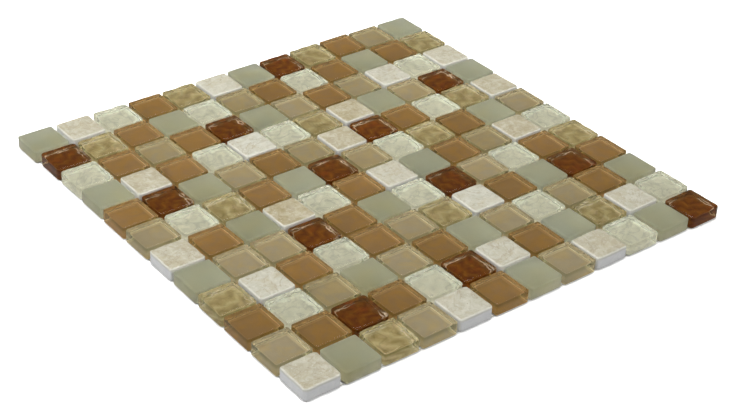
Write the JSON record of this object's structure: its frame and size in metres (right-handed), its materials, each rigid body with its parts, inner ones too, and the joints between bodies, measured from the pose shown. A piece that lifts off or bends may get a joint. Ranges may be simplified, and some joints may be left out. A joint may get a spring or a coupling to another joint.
{
  "type": "mosaic tile sheet",
  "caption": "Flat square sheet of small stone and glass mosaic chips in a random blend, held at even joints by an open mesh glued to their backs.",
  "frame": {"origin": "middle of the sheet, on the plane that its mesh backing rests on", "axes": "+Z out of the chips' faces, +X along a row of chips, +Y from the last row to the first"},
  "size_m": [0.298, 0.298, 0.0088],
  "materials": {
    "stone": "honed cream marble with tumbled edges",
    "frosted_sage_glass": "satin, sage green with a coloured back",
    "amber_glass": "gloss, clear glass over a copper-coloured back",
    "taupe_glass": "gloss, clear glass over a taupe back",
    "white_ripple_glass": "gloss, rippled glass over an off-white back",
    "gold_ripple_glass": "gloss, rippled glass over an olive gold back",
    "brown_ripple_glass": "gloss, rippled deep red-brown glass",
    "glass_fibre_mesh": "matte white glass-fibre yarn stiffened with resin"
  },
  "bodies": {
    "root": {"stone_chips": "stone", "frosted_sage_chips": "frosted_sage_glass", "amber_chips": "amber_glass", "taupe_chips": "taupe_glass", "white_ripple_chips": "white_ripple_glass", "gold_ripple_chips": "gold_ripple_glass", "brown_ripple_chips": "brown_ripple_glass", "mesh_warp_threads": "glass_fibre_mesh", "mesh_weft_threads": "glass_fibre_mesh"}
  },
  "joints": []
}
